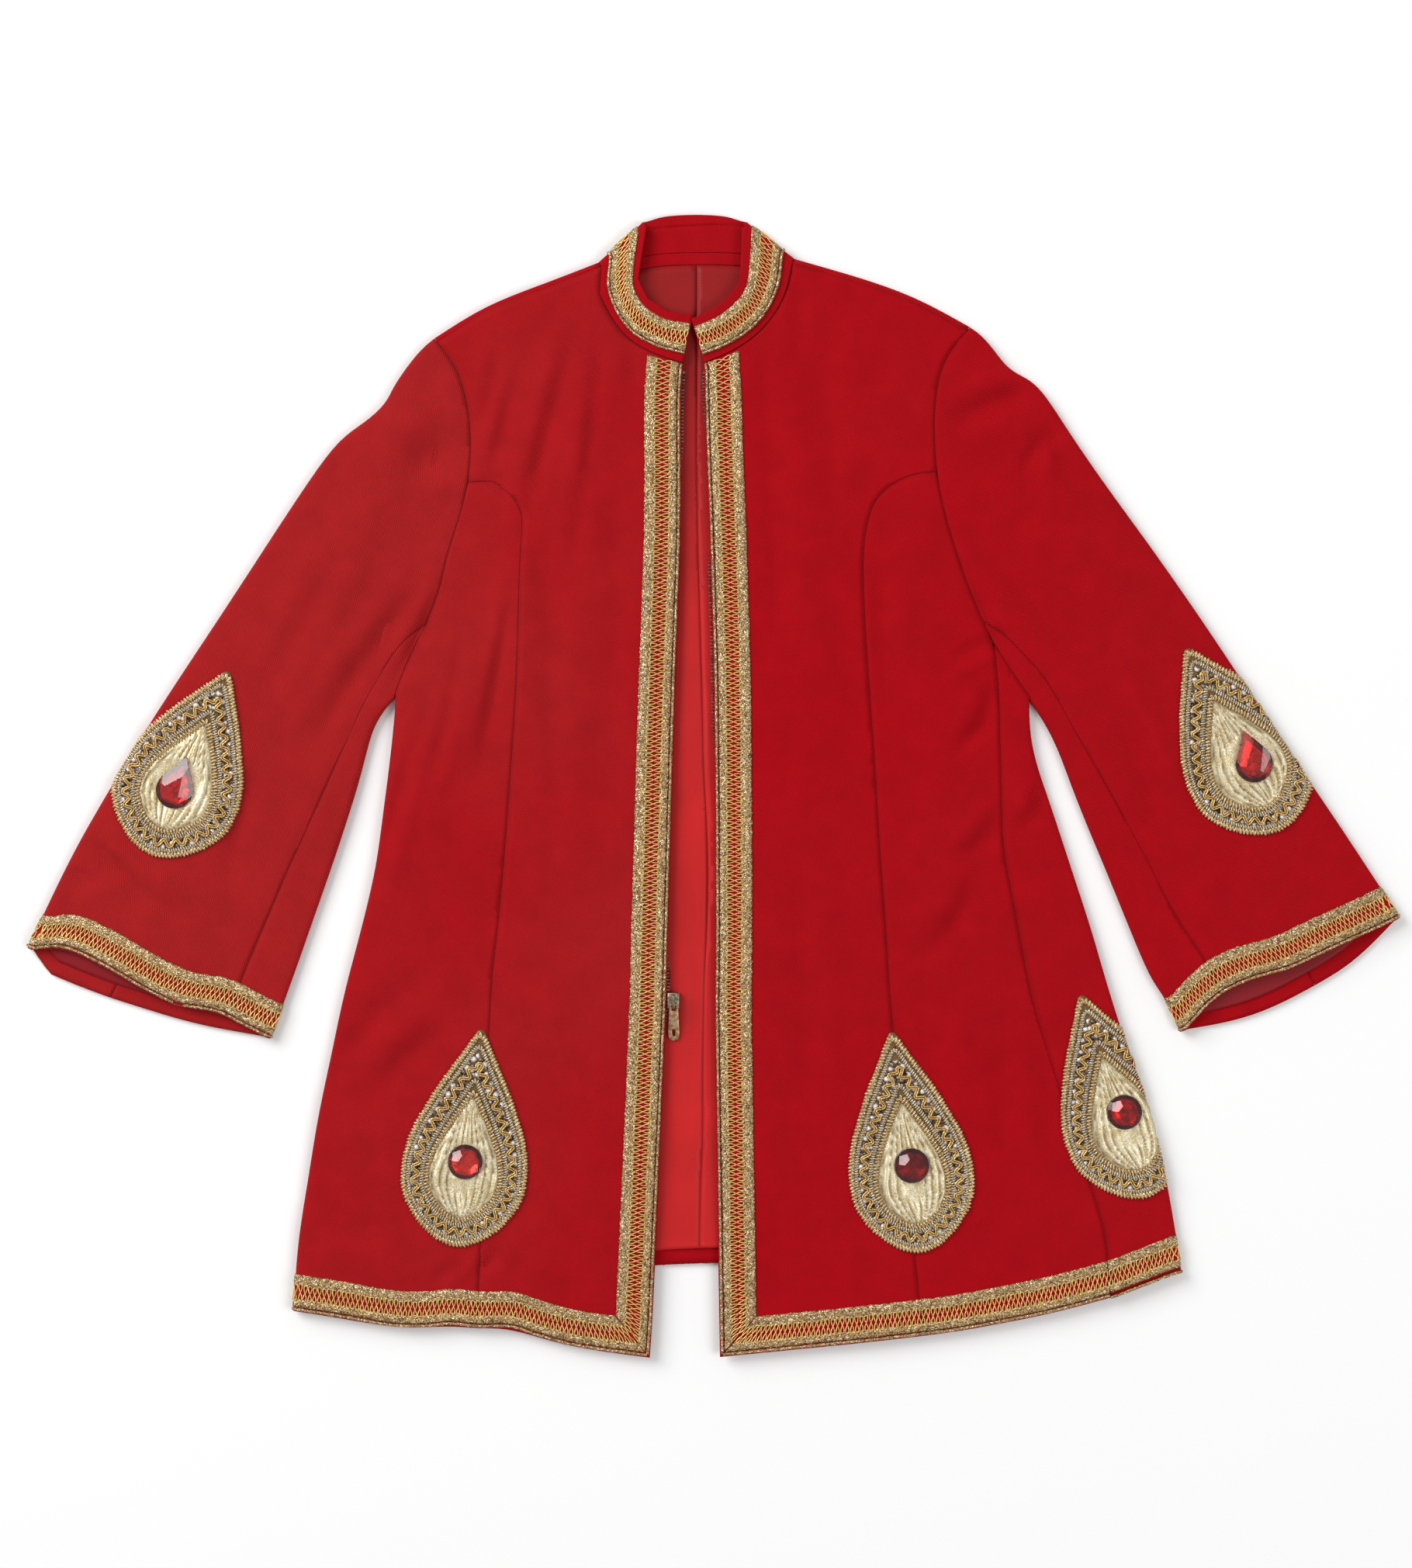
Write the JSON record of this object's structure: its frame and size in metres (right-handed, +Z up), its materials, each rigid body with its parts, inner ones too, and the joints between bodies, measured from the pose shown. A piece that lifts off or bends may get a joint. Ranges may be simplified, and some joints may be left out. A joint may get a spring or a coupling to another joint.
{
  "type": "stage jacket",
  "caption": "Hip-length wool stage jacket laid flat, with stand collar, flared three-quarter sleeves, open zip front, metallic braid edges and jewelled teardrop patches.",
  "frame": {"origin": "centre of the bounding box in plan, on the surface that the jacket lies on", "axes": "+X from cuff to cuff, towards the wearer's left sleeve; +Y from the hem towards the collar; +Z up, out of the fronts"},
  "size_m": [1.0023, 0.8332, 0.0165],
  "materials": {
    "wool": "matt twill",
    "lining": "satin",
    "braid": "metallic gimp",
    "patch_gold": "metallic lame and gimp",
    "jewel": "faceted, foil backed",
    "zip": "antique",
    "pull": "antique"
  },
  "bodies": {
    "jacket": {"back_panel": "wool", "right_centre_front": "wool", "left_centre_front": "wool", "right_side_front": "wool", "left_side_front": "wool", "right_upper_sleeve": "wool", "right_under_sleeve": "wool", "left_upper_sleeve": "wool", "left_under_sleeve": "wool", "collar": "wool", "back_neck_facing": "wool", "right_back_lining": "lining", "left_back_lining": "lining", "right_sleeve_lining": "lining", "left_sleeve_lining": "lining", "collar_braid": "braid", "right_front_braid": "braid", "left_front_braid": "braid", "right_hem_braid": "braid", "left_hem_braid": "braid", "back_hem_braid": "braid", "right_cuff_braid": "braid", "left_cuff_braid": "braid", "right_sleeve_patch": "patch_gold", "left_sleeve_patch": "patch_gold", "right_hem_patch": "patch_gold", "left_hem_patch": "patch_gold", "left_side_patch": "patch_gold", "right_sleeve_jewel": "jewel", "left_sleeve_jewel": "jewel", "right_hem_jewel": "jewel", "left_hem_jewel": "jewel", "left_side_jewel": "jewel", "right_zip_tape": "zip", "left_zip_tape": "zip", "zip_slider": "zip"},
    "pull": {"zip_pull": "pull"}
  },
  "joints": [
    {"name": "zip_pull_hinge", "type": "hinge", "parent": "jacket", "child": "pull", "pos_m": [-0.0286, -0.1599, 0.0109], "axis": [-1, 0, 0], "range_deg": [0, 140]}
  ]
}
